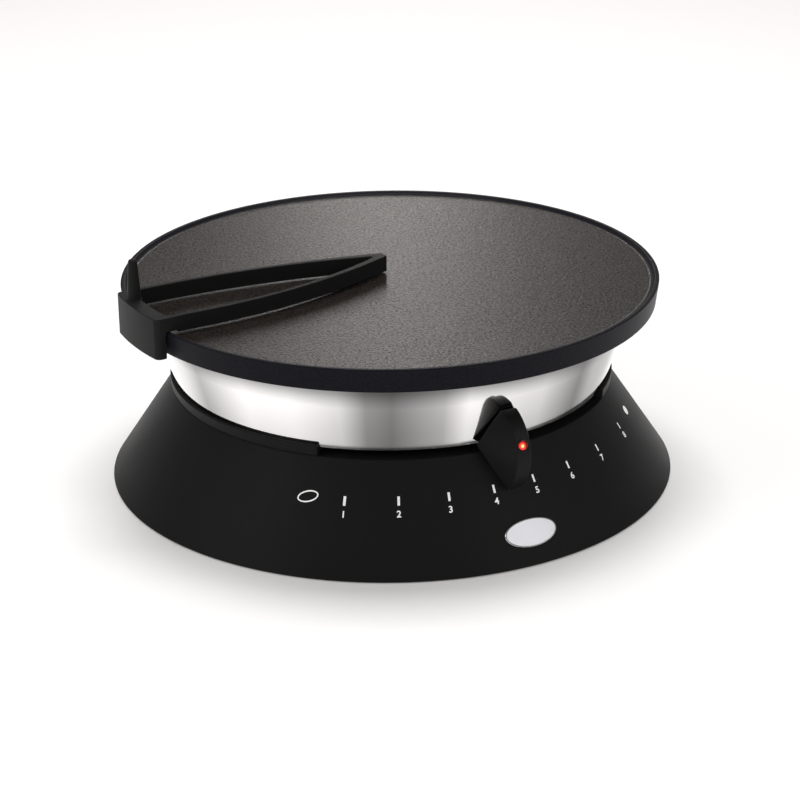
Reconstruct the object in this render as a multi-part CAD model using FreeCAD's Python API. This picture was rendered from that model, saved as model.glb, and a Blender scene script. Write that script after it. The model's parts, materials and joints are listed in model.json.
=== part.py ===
import FreeCAD, Part
import math
import os

from FreeCAD import Vector

# Electric crepe maker: a cast hotplate on a flared steel ring, a conical plastic base,
# a swinging thermostat lever at the waist and a loose batter spreader that turns on the plate.
# Millimetres. +Z is up, the origin is the centre of the circle that the feet stand on.
# Azimuth is measured from the front (-Y) towards +X.

# Cooking plate
plate_top_radius = 165.0
rim_taper = 1.8
plate_top = 126.3
rim_height = 14.3
rim_lip = 2.9
rim_wall = 7.5
rim_rounding = 0.8
cove_width = 3.6
cove_depth = 1.9
plate_thickness = 10.4

# Conical base
skirt_flare = 39.5
skirt_foot_height = 0.6
skirt_top = 59.5
skirt_wall = 3.4
shelf_width = 18.3
shelf_thickness = 2.5

# Waist: the steel ring, and the collar with the lever's recess
ring_inset = 13.4
ring_flare = 15.2
ring_sheet = 0.8
ring_flange = 8.6
waist_height = 5.0
waist_step = 1.7
collar_rise = 1.8
collar_lip = 2.2
collar_step = 1.6
collar_width = 9.3
fit_gap = 0.12
recess_first_azimuth = -18.45
recess_last_azimuth = 69.0
gasket_thickness = 0.8
gasket_width = 9.5
gasket_edge = 0.4

# Heating parts under the plate
element_inset = 70.0
element_tube = 4.0
element_gap_angle = 30.0
terminal_radius = 4.5
terminal_tail = 16.4
clamp_plate_margin = 17.0
clamp_plate_sheet = 1.5
pad_inset = 4.0
pad_share = 0.36
shield_inset = 24.8
shield_sheet = 1.0
shield_lip = 9.0
cutout_radius = 8.0
cutout_height = 6.0
cutout_place = 60.0

# Bracket across the waist, with its tie rods
bracket_width = 36.0
bracket_sheet = 2.0
bracket_azimuth = 115.0
bracket_inset = 1.4
bracket_screw_inset = 4.4
tie_rod_radius = 3.0
tie_rod_place = 60.0
tie_rod_tail = 5.8
tie_nut_radius = 5.5
tie_nut_height = 4.0
spacer_radius = 5.0
hole_gap = 0.2
earth_tab_place = 84.0
earth_tab_size = 10.0

# Thermostat
thermostat_radius = 17.0
thermostat_share = 0.48
thermostat_neck = 5.0
thermostat_neck_drop = 1.4
thermostat_tag = 7.0
thermostat_screw_place = 13.0
sensor_radius = 2.5
shaft_radius = 3.0
shaft_gap = 0.05
shaft_tail = 7.9
shaft_depth = 8.2

# Lever
lever_azimuth = 27.85
arm_gap = 0.9
arm_thickness = 3.2
arm_width = 10.0
arm_neck_width = 6.0
arm_neck_inset = 6.0
arm_eye_radius = 8.5
arm_grip_depth = 12.0
hub_radius = 8.0
hub_screw_radius = 1.5
grip_band_width = 9.2
grip_gap = 0.5
grip_shoulder = 0.6
grip_back_gap = 0.4
grip_rise = 20.1
grip_drop = 20.1
grip_top_reach = 3.0
grip_reach = 23.6
grip_nose_drop = 1.5
grip_wing_half = 17.6
grip_wing_rise = 0.5
grip_screw_radius = 1.25
grip_screw_place = 7.0
grip_screw_drop = 6.0
grip_screw_rise = 5.0
lens_radius = 3.0
lens_rise = 3.9
lens_proud = 0.7
lens_depth = 2.2
lamp_radius = 2.2
lamp_length = 6.0

# Batter spreader
spreader_azimuth = -57.75
spreader_offset = -6.5
spreader_rise = 9.1
spreader_wall = 3.0
spread_gap = 1.0
blade_end_half = 3.2
blade_middle_share = 0.497
blade_middle_half = 23.7
blade_shoulder_inset = 15.0
blade_shoulder_half = 30.3
block_half = 31.2
leading_side_trim = 5.5
block_thickness = 6.4
block_drop = 1.4
block_rounding = 3.5
rim_gap = 0.3
guide_gap = 0.5
foot_inset = 1.2
opening_inset = 2.5
peg_azimuth = -65.0
peg_offset = 0.6
peg_foot_radius = 4.2
peg_top_radius = 2.6
peg_height = 24.8
peg_rounding = 1.8

# Underside
cover_bottom = 3.4
cover_sheet = 2.0
cover_gap = 0.4
vent_count = 16
vent_inset = 55.0
vent_length = 34.0
vent_width = 5.0
foot_radius = 9.5
foot_place_inset = 25.8
foot_count = 4
foot_azimuth = 20.0
boss_radius = 5.5
boss_height = 30.0
screw_radius = 1.8
screw_head_radius = 3.4
screw_head_height = 2.0
cover_screw_length = 15.0

# Collar screws
collar_screw_azimuths = (90.0, 142.0, 194.0, 242.0, 276.0)
collar_screw_inset = 4.2
collar_nut_radius = 3.1
collar_nut_height = 2.4

# Cord entry at the back
gland_height = 22.0
gland_radius = 7.0
gland_bore = 3.75
gland_proud = 9.55
gland_length = 25.0
gland_flange_radius = 9.0
gland_flange = 3.0
clamp_inset = 18.0
clamp_length = 10.0
clamp_width = 26.0
clamp_top = 29.0
terminal_block_inset = 46.0
terminal_block_width = 34.0
terminal_block_depth = 16.0
terminal_block_height = 14.0

# Blank oval badge
badge_azimuth = 28.8
badge_height = 16.4
badge_half_width = 17.0
badge_half_height = 8.2
badge_thickness = 1.1

# Heights and radii that follow from the values above
plate_low_radius = plate_top_radius - rim_taper
plate_face = plate_top - cove_depth
plate_back = plate_face - plate_thickness
rim_bottom = plate_top - rim_height
ring_top_radius = plate_low_radius - ring_inset
ring_bottom_radius = ring_top_radius - ring_flare
ring_bottom = skirt_top + waist_height
ring_top = plate_back - gasket_thickness
collar_top = ring_bottom + collar_rise
skirt_top_radius = ring_bottom_radius + waist_step
skirt_foot_radius = skirt_top_radius + skirt_flare
shelf_inner = skirt_top_radius - shelf_width
skirt_slope = (skirt_foot_radius - skirt_top_radius) / (skirt_top - skirt_foot_height)
ring_slope = (ring_top_radius - ring_bottom_radius) / (ring_top - ring_bottom)
element_height = plate_back - element_tube - fit_gap
clamp_plate_top = element_height - element_tube - fit_gap
clamp_plate_bottom = clamp_plate_top - clamp_plate_sheet
bracket_bottom = ring_bottom + ring_sheet
bracket_top = bracket_bottom + bracket_sheet
stack_height = clamp_plate_bottom - bracket_top
shield_top = clamp_plate_bottom - stack_height * pad_share
shield_bottom = shield_top - shield_sheet
thermostat_top = bracket_top + stack_height * thermostat_share
element_radius = plate_top_radius - element_inset
clamp_plate_radius = element_radius + clamp_plate_margin
pad_radius = clamp_plate_radius - pad_inset
shield_radius = ring_top_radius - shield_inset
bracket_reach = ring_bottom_radius - bracket_inset
bracket_screw_place = ring_bottom_radius - bracket_screw_inset
collar_screw_place = ring_bottom_radius - collar_screw_inset
arm_bottom = skirt_top + arm_gap
arm_neck_start = shelf_inner - arm_neck_inset
shaft_bottom = arm_bottom - shaft_tail
grip_top = collar_top + grip_rise
grip_bottom = skirt_top - grip_drop
grip_nose_height = ring_bottom - grip_nose_drop
grip_wing_height = ring_bottom + grip_wing_rise
lens_height = collar_top + lens_rise
cover_top = cover_bottom + cover_sheet
shelf_bottom = skirt_top - shelf_thickness
blade_bottom = plate_face + spread_gap
blade_middle = plate_top_radius * blade_middle_share
blade_shoulder = plate_top_radius - blade_shoulder_inset
opening_reach = plate_top_radius - opening_inset
block_underside = plate_top + rim_gap
block_bottom = rim_bottom - block_drop
spreader_top = plate_top + spreader_rise
peg_place = plate_top_radius + peg_offset
foot_place = skirt_foot_radius - foot_place_inset
vent_place = foot_place - vent_inset


def skirt_radius(height):
    return skirt_foot_radius - skirt_slope * (height - skirt_foot_height)


def ring_radius(height):
    return ring_bottom_radius + ring_slope * (height - ring_bottom)


# Radii that lie on the cone or on the ring
grip_inner = ring_radius(collar_top) + collar_lip + grip_back_gap
grip_nose_radius = grip_inner + grip_reach
gland_mouth = skirt_radius(gland_height) + gland_proud
gland_back = gland_mouth - gland_length
clamp_place = gland_back - clamp_inset
terminal_block_place = gland_back - terminal_block_inset


def turned(shape, azimuth):
    copy = shape.copy()
    copy.rotate(Vector(0, 0, 0), Vector(0, 0, 1), azimuth)
    return copy


def on_front(radius, height, side=0.0):
    return Vector(side, -radius, height)


def rod(radius, bottom, top, place=0.0, azimuth=0.0):
    return turned(Part.makeCylinder(radius, top - bottom, on_front(place, bottom)), azimuth)


def tube(radius, bore, bottom, top, place=0.0, azimuth=0.0):
    return rod(radius, bottom, top, place, azimuth).cut(rod(bore, bottom, top, place, azimuth))


def hexagon(radius, bore, bottom, top, place, azimuth):
    points = [Vector(radius * math.cos(i * math.pi / 3), radius * math.sin(i * math.pi / 3) - place, bottom)
              for i in range(6)]
    prism = Part.Face(Part.makePolygon(points + points[:1])).extrude(Vector(0, 0, top - bottom))
    return turned(prism, azimuth).cut(rod(bore, bottom, top, place, azimuth))


def box_on_front(width, near, far, bottom, top, azimuth=0.0):
    corner = Vector(-width / 2, -far, bottom)
    return turned(Part.makeBox(width, far - near, top - bottom, corner), azimuth)


def spun(edges, sweep=360.0):
    return Part.Face(Part.Wire(edges)).revolve(Vector(0, 0, 0), Vector(0, 0, 1), sweep)


def outline(points):
    corners = [on_front(radius, height) for radius, height in points]
    return Part.makePolygon(corners + corners[:1]).Edges


# Cast plate with a raised rim, a cove inside it and a flat back
def cooking_plate():
    lip_inner = plate_top_radius - rim_lip
    cove_inner = lip_inner - cove_width
    cove_middle = on_front(lip_inner - cove_width * 0.42, plate_face + cove_depth * 0.26)
    side = math.atan2(plate_top_radius - plate_low_radius, rim_height)
    low_round = plate_low_radius + rim_rounding * math.tan(side)
    points = [
        (0, plate_face), (0, plate_back), (plate_low_radius - rim_wall, plate_back),
        (plate_low_radius - rim_wall, rim_bottom), (plate_low_radius - rim_rounding, rim_bottom),
        (low_round, rim_bottom + rim_rounding), (plate_top_radius, plate_top - rim_rounding),
        (plate_top_radius - rim_rounding, plate_top), (lip_inner, plate_top),
    ]
    corners = [on_front(radius, height) for radius, height in points]
    edges = Part.makePolygon(corners).Edges
    edges.append(Part.Arc(corners[-1], cove_middle, on_front(cove_inner, plate_face)).toShape())
    edges.append(Part.makeLine(on_front(cove_inner, plate_face), corners[0]))
    return spun(edges)


# Flared ring of sheet steel with a flange at each end
def steel_ring():
    inner_top = ring_top - ring_sheet
    inner_bottom = ring_bottom + ring_sheet
    gasket_inner = ring_top_radius - gasket_width - gasket_edge
    ring = spun(outline([
        (ring_bottom_radius - ring_flange, ring_bottom), (ring_bottom_radius, ring_bottom),
        (ring_top_radius, ring_top), (gasket_inner, ring_top), (gasket_inner, inner_top),
        (ring_radius(inner_top) - ring_sheet, inner_top),
        (ring_radius(inner_bottom) - ring_sheet, inner_bottom),
        (ring_bottom_radius - ring_flange, inner_bottom),
    ]))
    return ring.cut(waist_holes(screw_radius + hole_gap))


def plate_gasket():
    outer = ring_top_radius - gasket_edge
    return tube(outer, outer - gasket_width, ring_top, plate_back)


# Holes through the waist for the collar's and the bracket's screws
def waist_holes(radius):
    holes = [rod(radius, shelf_bottom - 1, bracket_top + 1, collar_screw_place, azimuth)
             for azimuth in collar_screw_azimuths]
    holes += [rod(radius, skirt_top, bracket_top + 1, bracket_screw_place, azimuth)
              for azimuth in bracket_azimuths()]
    return holes


def bracket_azimuths():
    return (bracket_azimuth, bracket_azimuth + 180)


# Plastic band round the waist, open where the lever swings
def waist_collar():
    lip_radius = ring_radius(collar_top) + collar_lip
    band = spun(outline([
        (skirt_top_radius - collar_width, skirt_top), (skirt_top_radius, skirt_top),
        (lip_radius - 0.3, skirt_top + collar_step), (lip_radius, collar_top - 0.4),
        (lip_radius - 0.4, collar_top), (ring_radius(collar_top) + fit_gap, collar_top),
        (ring_bottom_radius + fit_gap, ring_bottom), (skirt_top_radius - collar_width, ring_bottom),
    ]), 360 - (recess_last_azimuth - recess_first_azimuth))
    return turned(band, recess_last_azimuth).cut(waist_holes(screw_radius + hole_gap))


# Conical shell with a shelf at the waist and screw bosses inside
def base_skirt():
    foot_inner = skirt_foot_radius - skirt_wall
    shell = spun(outline([
        (skirt_foot_radius, skirt_foot_height), (skirt_top_radius, skirt_top), (shelf_inner, skirt_top),
        (shelf_inner, shelf_bottom), (skirt_radius(shelf_bottom) - skirt_wall, shelf_bottom),
        (foot_inner, skirt_foot_height),
    ]))
    hollow = spun(outline([
        (0, skirt_foot_height), (foot_inner + 1, skirt_foot_height), (skirt_top_radius - skirt_wall + 1, skirt_top),
        (0, skirt_top),
    ]))
    for azimuth in cover_screw_azimuths():
        boss = rod(boss_radius, cover_top, cover_top + boss_height, foot_place, azimuth)
        shell = shell.fuse(boss.common(hollow))
    holes = [rod(screw_radius + hole_gap, cover_top - 1, cover_bottom + cover_screw_length + 1, foot_place, azimuth)
             for azimuth in cover_screw_azimuths()]
    holes += waist_holes(screw_radius + hole_gap)[:len(collar_screw_azimuths)]
    holes.append(along_back(gland_radius + fit_gap, clamp_place, gland_mouth))
    return shell.cut(holes)


def cover_screw_azimuths():
    step = 360 / foot_count
    return [foot_azimuth + step / 2 + i * step for i in range(foot_count)]


def along_back(radius, near, far):
    return Part.makeCylinder(radius, far - near, Vector(0, near, gland_height), Vector(0, 1, 0))


# Sheathed element: most of a circle of round tube under the plate
def heating_element():
    circle = Part.makeCircle(element_tube, on_front(element_radius, element_height), Vector(1, 0, 0))
    return turned(spun([circle], 360 - element_gap_angle), 180 + element_gap_angle / 2)


def terminal_azimuths():
    step = element_gap_angle / 2 - math.degrees((terminal_radius + fit_gap) / element_radius)
    return (180 - step, 180 + step)


def element_terminals():
    top = element_height + element_tube
    bottom = shield_bottom - terminal_tail
    return Part.makeCompound([rod(terminal_radius, bottom, top, element_radius, azimuth)
                              for azimuth in terminal_azimuths()])


# Holes that the layers under the plate share
def stack_holes():
    holes = [rod(terminal_radius + hole_gap, shield_bottom - 1, plate_back, element_radius, azimuth)
             for azimuth in terminal_azimuths()]
    holes += [rod(tie_rod_radius + hole_gap, shield_bottom - 1, plate_back, tie_rod_place, azimuth)
              for azimuth in bracket_azimuths()]
    holes.append(rod(sensor_radius + hole_gap, shield_bottom - 1, plate_back))
    return holes


def element_clamp_plate():
    return rod(clamp_plate_radius, clamp_plate_bottom, clamp_plate_top).cut(stack_holes())


def insulation_pad():
    return rod(pad_radius, shield_top, clamp_plate_bottom).cut(stack_holes())


def heat_shield():
    inner = shield_radius - shield_sheet
    dish = spun(outline([
        (0, shield_bottom), (shield_radius, shield_bottom), (shield_radius, shield_bottom + shield_lip),
        (inner, shield_bottom + shield_lip), (inner, shield_top), (0, shield_top),
    ]))
    return dish.cut(stack_holes())


def thermal_cutout():
    return rod(cutout_radius, shield_bottom - cutout_height, shield_bottom, cutout_place, 180)


# Two long rods that tie the plate to the bracket, with spacers and nuts
def tie_rods():
    bottom = bracket_bottom - tie_rod_tail
    return Part.makeCompound([rod(tie_rod_radius, bottom, plate_back, tie_rod_place, azimuth)
                              for azimuth in bracket_azimuths()])


def tie_rod_nuts():
    bore = tie_rod_radius + hole_gap / 2
    return Part.makeCompound([
        hexagon(tie_nut_radius, bore, bracket_bottom - tie_nut_height, bracket_bottom, tie_rod_place, azimuth)
        for azimuth in bracket_azimuths()])


def spacer_tubes():
    bore = tie_rod_radius + hole_gap
    return Part.makeCompound([tube(spacer_radius, bore, bracket_top, shield_bottom, tie_rod_place, azimuth)
                              for azimuth in bracket_azimuths()])


def thermostat_screw_places():
    return [(thermostat_screw_place, azimuth) for azimuth in bracket_azimuths()]


def thermostat_bracket():
    strip = box_on_front(bracket_width, -bracket_reach, bracket_reach, bracket_bottom, bracket_top, bracket_azimuth)
    strip = strip.common(rod(bracket_reach, bracket_bottom, bracket_top))
    holes = [rod(tie_rod_radius + hole_gap, bracket_bottom, bracket_top, tie_rod_place, azimuth)
             for azimuth in bracket_azimuths()]
    holes += [rod(screw_radius + hole_gap, bracket_bottom, bracket_top, bracket_screw_place, azimuth)
              for azimuth in bracket_azimuths()]
    holes += [rod(screw_radius + hole_gap, bracket_bottom, bracket_top, place, azimuth)
              for place, azimuth in thermostat_screw_places()]
    holes.append(rod(thermostat_neck + hole_gap, bracket_bottom, bracket_top))
    return strip.cut(holes)


def bracket_screws():
    screws = []
    for azimuth in bracket_azimuths():
        head = rod(screw_head_radius, bracket_top, bracket_top + screw_head_height, bracket_screw_place, azimuth)
        shank = rod(screw_radius, skirt_top + 1, bracket_top, bracket_screw_place, azimuth)
        screws.append(head.fuse(shank))
    return Part.makeCompound(screws)


def earth_tab():
    near = earth_tab_place - earth_tab_size / 2
    far = near + earth_tab_size
    flat = box_on_front(earth_tab_size, near, far, bracket_top, bracket_top + 1, bracket_azimuth)
    blade = box_on_front(earth_tab_size * 0.6, far - 1, far, bracket_top, bracket_top + earth_tab_size, bracket_azimuth)
    return flat.fuse(blade)


# Thermostat above the bracket, its feeler up to the plate and its shaft down to the lever
def thermostat_body():
    drum = rod(thermostat_radius, bracket_top, thermostat_top)
    neck = rod(thermostat_neck, bracket_bottom - thermostat_neck_drop, bracket_top)
    tags = [box_on_front(thermostat_tag, thermostat_radius - 1, thermostat_radius + thermostat_tag,
                         thermostat_top - 4 - side, thermostat_top - 3 - side, azimuth)
            for azimuth, side in ((180, 0), (210, 4))]
    body = drum.fuse([neck] + tags)
    bore_top = bracket_top + shaft_depth + 0.3
    holes = [rod(shaft_radius + shaft_gap, bracket_bottom - thermostat_neck_drop, bore_top)]
    holes += [rod(screw_radius + hole_gap, bracket_top, bracket_top + 7, place, azimuth)
              for place, azimuth in thermostat_screw_places()]
    return body.cut(holes)


def thermostat_screws():
    screws = []
    for place, azimuth in thermostat_screw_places():
        head = rod(screw_head_radius - 0.6, bracket_bottom - 1.4, bracket_bottom, place, azimuth)
        screws.append(head.fuse(rod(screw_radius, bracket_bottom, bracket_top + 6, place, azimuth)))
    return Part.makeCompound(screws)


def sensor_rod():
    return rod(sensor_radius, thermostat_top, plate_back)


def thermostat_shaft():
    return rod(shaft_radius, shaft_bottom, bracket_top + shaft_depth)


# Lever: hub and arm under the bracket, grip outside the waist
def lever_hub():
    hub = tube(hub_radius, shaft_radius + shaft_gap, shaft_bottom + 1, arm_bottom)
    hole = across_hub(hub_screw_radius + fit_gap)
    return turned(hub.cut(hole), lever_azimuth)


def across_hub(radius):
    height = (shaft_bottom + 1 + arm_bottom) / 2
    start = on_front(shaft_radius + shaft_gap, height)
    return Part.makeCylinder(radius, hub_radius - shaft_radius, start, Vector(0, -1, 0))


def hub_screw():
    return turned(across_hub(hub_screw_radius), lever_azimuth)


def lever_arm():
    top = arm_bottom + arm_thickness
    arm = box_on_front(arm_width, 0, arm_neck_start, arm_bottom, top)
    neck = box_on_front(arm_neck_width, arm_neck_start - 1, grip_inner + arm_grip_depth, arm_bottom, top)
    eye = rod(arm_eye_radius, arm_bottom, top)
    arm = arm.fuse([neck, eye]).removeSplitter()
    holes = [rod(shaft_radius + shaft_gap, arm_bottom, top)]
    holes.append(rod(grip_screw_radius + hole_gap, arm_bottom, top, grip_inner + grip_screw_place))
    return turned(arm.cut(holes), lever_azimuth)


# Side view of the grip: straight behind, a round nose in front
def nose_arc(side):
    skirt_end = on_front(skirt_radius(grip_bottom) + grip_gap, grip_bottom, side)
    top_end = on_front(ring_radius(grip_top) + grip_top_reach, grip_top, side)
    return Part.Arc(top_end, on_front(grip_nose_radius, grip_nose_height, side), skirt_end)


def grip_side(side):
    low_start = grip_bottom + 2.2
    arc = nose_arc(side)
    back = [
        (skirt_radius(grip_bottom) + grip_gap, grip_bottom),
        (skirt_radius(low_start) + grip_gap, low_start), (grip_inner, skirt_top), (grip_inner, collar_top + grip_shoulder),
        (ring_radius(grip_top - 0.6) + grip_gap, grip_top - 0.6), (ring_radius(grip_top) + grip_top_reach, grip_top),
    ]
    edges = Part.makePolygon([on_front(radius, height, side) for radius, height in back]).Edges
    return Part.Wire(edges + [arc.toShape()])


def lever_grip():
    half = grip_band_width / 2
    grip = Part.Face(grip_side(-half)).extrude(Vector(grip_band_width, 0, 0))
    wing_radius = math.sqrt((grip_inner - 0.2) ** 2 - grip_wing_half ** 2)
    for side in (-1, 1):
        tip = Part.Vertex(on_front(wing_radius, grip_wing_height, side * grip_wing_half))
        grip = grip.fuse(Part.makeLoft([grip_side(side * half), tip], True, True))
    grip = grip.removeSplitter()
    pocket = box_on_front(arm_neck_width + hole_gap, grip_inner - 2, grip_inner + arm_grip_depth + hole_gap,
                          arm_bottom - hole_gap / 2, arm_bottom + arm_thickness + hole_gap / 2)
    place = grip_inner + grip_screw_place
    screw_top = arm_bottom + arm_thickness + grip_screw_rise
    screw_hole = rod(grip_screw_radius + hole_gap, grip_bottom, screw_top + hole_gap, place)
    head_hole = rod(grip_screw_radius * 2 + hole_gap, grip_bottom, arm_bottom - grip_screw_drop, place)
    lamp_hole = lens_rod(lamp_radius + hole_gap, -lens_depth - lamp_length - 1, 0)
    lens_hole = lens_rod(lens_radius + hole_gap / 2, -lens_depth, 3)
    return turned(grip.cut([pocket, lamp_hole, lens_hole, screw_hole, head_hole]), lever_azimuth)


# A rod square to the grip's nose, between two depths from its surface
def lens_rod(radius, start, end):
    circle = nose_arc(0).toShape().Curve
    rise = lens_height - circle.Center.z
    out = math.sqrt(circle.Radius ** 2 - rise ** 2)
    direction = Vector(0, -out, rise).normalize()
    foot = circle.Center + direction * (circle.Radius + start)
    return Part.makeCylinder(radius, end - start, foot, direction)


def indicator_lens():
    lens = lens_rod(lens_radius, -lens_depth, lens_proud)
    rim = [edge for edge in lens.Edges if edge.isClosed()]
    outer = max(rim, key=lambda edge: -edge.CenterOfMass.y)
    return turned(lens.makeFillet(lens_proud * 0.9, [outer]), lever_azimuth)


def indicator_lamp():
    return turned(lens_rod(lamp_radius, -lens_depth - lamp_length, -lens_depth), lever_azimuth)


def grip_screw():
    place = grip_inner + grip_screw_place
    foot = arm_bottom - grip_screw_drop
    shank = rod(grip_screw_radius, foot, arm_bottom + arm_thickness + grip_screw_rise, place)
    head = rod(grip_screw_radius * 2, foot - grip_screw_radius * 1.5, foot, place)
    return turned(shank.fuse(head), lever_azimuth)


# Plan of the spreader: two bowed blades from a blunt end at the plate's centre to the guide block,
# whose leading side stops short of the trailing one
def spreader_plan(inset, near, far, bottom, top):
    middle = blade_middle_half - inset
    shoulder = blade_shoulder_half - inset
    end = blade_end_half + inset * (middle - blade_end_half) / blade_middle - inset
    back = block_half - inset
    near_half = max(end, 1.0)
    leading_shoulder = shoulder - leading_side_trim
    leading_back = back - leading_side_trim

    def corner(along, across):
        return Vector(across + spreader_offset, -along, bottom)

    left = Part.Arc(corner(near, -near_half), corner(blade_middle, -middle), corner(blade_shoulder, -shoulder))
    right = Part.Arc(corner(blade_shoulder, leading_shoulder), corner(blade_middle, middle), corner(near, near_half))
    edges = [left.toShape(), Part.makeLine(corner(blade_shoulder, -shoulder), corner(far, -back)),
             Part.makeLine(corner(far, -back), corner(far, leading_back)),
             Part.makeLine(corner(far, leading_back), corner(blade_shoulder, leading_shoulder)),
             right.toShape(), Part.makeLine(corner(near, near_half), corner(near, -near_half))]
    return Part.Face(Part.Wire(edges)).extrude(Vector(0, 0, top - bottom))


def spreader_frame():
    guide_radius = plate_top_radius + guide_gap
    reach = guide_radius + block_thickness
    foot_reach = plate_top_radius - rim_lip - cove_width - foot_inset
    body = spreader_plan(0, 0, reach + 10, block_bottom, spreader_top)
    body = body.common(rod(reach, block_bottom, spreader_top))
    opening = spreader_plan(spreader_wall, spreader_wall * 3, reach, block_bottom, spreader_top + 1)
    opening = opening.common(rod(opening_reach, block_bottom, spreader_top + 1))
    body = body.cut([
        rod(foot_reach, block_bottom - 1, blade_bottom),
        tube(guide_radius, foot_reach - 0.01, block_bottom - 1, block_underside),
        opening,
    ])
    corners = [edge for edge in body.Edges if upright_corner(edge, reach)]
    return turned(body.makeFillet(block_rounding, corners), spreader_azimuth)


def upright_corner(edge, reach):
    ends = [vertex.Point for vertex in edge.Vertexes]
    if len(ends) < 2 or abs(ends[0].z - ends[1].z) < block_rounding:
        return False
    return all(math.hypot(point.x, point.y) > reach - 0.1 for point in ends)


def spreader_peg():
    peg = Part.makeCone(peg_foot_radius, peg_top_radius, peg_height, on_front(peg_place, spreader_top))
    top_edge = [edge for edge in peg.Edges if edge.isClosed() and edge.CenterOfMass.z > spreader_top + peg_height / 2]
    return turned(peg.makeFillet(peg_rounding, top_edge), peg_azimuth)


# Screws and nuts that hold the waist together
def collar_screws():
    screws = []
    for azimuth in collar_screw_azimuths:
        head = rod(screw_head_radius, shelf_bottom - screw_head_height, shelf_bottom, collar_screw_place, azimuth)
        top = bracket_bottom + collar_nut_height + 0.6
        screws.append(head.fuse(rod(screw_radius, shelf_bottom, top, collar_screw_place, azimuth)))
    return Part.makeCompound(screws)


def collar_nuts():
    return Part.makeCompound([
        hexagon(collar_nut_radius, screw_radius + hole_gap / 2, bracket_bottom, bracket_bottom + collar_nut_height,
                collar_screw_place, azimuth)
        for azimuth in collar_screw_azimuths])


# Underside: vented cover, its screws and the rubber feet
def bottom_cover():
    disc = rod(skirt_radius(cover_top) - skirt_wall - cover_gap, cover_bottom, cover_top)
    cuts = [rod(screw_radius + hole_gap, cover_bottom, cover_top, foot_place, azimuth)
            for azimuth in cover_screw_azimuths()]
    slot = box_on_front(vent_width, vent_place - vent_length / 2, vent_place + vent_length / 2, cover_bottom, cover_top)
    keep_clear = (180 - 360 / vent_count, 180, 180 + 360 / vent_count)
    for i in range(vent_count):
        azimuth = i * 360 / vent_count
        if not keep_clear[0] <= azimuth <= keep_clear[-1]:
            cuts.append(turned(slot, azimuth))
    return disc.cut(cuts)


def cover_screws():
    screws = []
    for azimuth in cover_screw_azimuths():
        head = rod(screw_head_radius, cover_bottom - screw_head_height, cover_bottom, foot_place, azimuth)
        shank = rod(screw_radius, cover_bottom, cover_bottom + cover_screw_length, foot_place, azimuth)
        screws.append(head.fuse(shank))
    return Part.makeCompound(screws)


def rubber_feet():
    step = 360 / foot_count
    foot = Part.makeCone(foot_radius - 1, foot_radius, cover_bottom, on_front(foot_place, 0))
    return Part.makeCompound([turned(foot, foot_azimuth + i * step) for i in range(foot_count)])


# Cord entry: a bushing through the skirt, a clamp behind it and the terminal block
def cord_gland():
    bushing = along_back(gland_radius, gland_back, gland_mouth)
    flange = along_back(gland_flange_radius, gland_back, gland_back + gland_flange)
    return bushing.fuse(flange).cut(along_back(gland_bore, gland_back - 1, gland_mouth + 1))


def cord_clamp():
    block = box_on_front(clamp_width, clamp_place, clamp_place + clamp_length, cover_top, clamp_top, 180)
    return block.cut(along_back(gland_bore, clamp_place - 1, clamp_place + clamp_length + 1))


def terminal_block():
    near = terminal_block_place
    block = box_on_front(terminal_block_width, near, near + terminal_block_depth, cover_top,
                         cover_top + terminal_block_height, 180)
    ways = [Part.makeCylinder(2.5, terminal_block_depth, Vector(side, near, cover_top + terminal_block_height / 2),
                              Vector(0, 1, 0)) for side in (-11, 0, 11)]
    return block.cut(ways)


# Blank oval badge that lies on the cone
def name_badge():
    slope_angle = math.degrees(math.atan(1 / skirt_slope))
    centre = on_front(skirt_radius(badge_height), badge_height)
    proud = badge_thickness / math.sin(math.radians(slope_angle))
    low = badge_height - 2 * badge_half_height
    high = badge_height + 2 * badge_half_height
    solid_low = spun(outline([(0, low), (skirt_radius(low) + proud, low), (skirt_radius(high) + proud, high),
                              (0, high)]))
    core = spun(outline([(0, low - 1), (skirt_radius(low - 1), low - 1), (skirt_radius(high + 1), high + 1),
                         (0, high + 1)]))
    oval = Part.Ellipse(Vector(0, 0, 0), badge_half_width, badge_half_height)
    prism = Part.Face(Part.Wire(oval.toShape())).extrude(Vector(0, 0, 6 * badge_thickness))
    prism.translate(Vector(0, 0, -3 * badge_thickness))
    prism.rotate(Vector(0, 0, 0), Vector(1, 0, 0), slope_angle)
    prism.translate(centre)
    return turned(solid_low.common(prism).cut(core), badge_azimuth)


builders = (
    cooking_plate, plate_gasket, steel_ring, waist_collar, base_skirt, name_badge,
    heating_element, element_terminals, element_clamp_plate, insulation_pad, heat_shield, thermal_cutout,
    tie_rods, tie_rod_nuts, spacer_tubes, thermostat_bracket, bracket_screws, earth_tab,
    thermostat_body, thermostat_screws, sensor_rod,
    thermostat_shaft, lever_hub, hub_screw, lever_arm, lever_grip, grip_screw, indicator_lens, indicator_lamp,
    spreader_frame, spreader_peg,
    collar_screws, collar_nuts, bottom_cover, cover_screws, rubber_feet,
    cord_gland, cord_clamp, terminal_block,
)


def main():
    os.makedirs("parts", exist_ok=True)
    for builder in builders:
        builder().exportStep(os.path.join("parts", builder.__name__ + ".step"))


main()
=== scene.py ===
import json
import math

import bmesh
import bpy
from mathutils import Matrix, Vector


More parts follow.
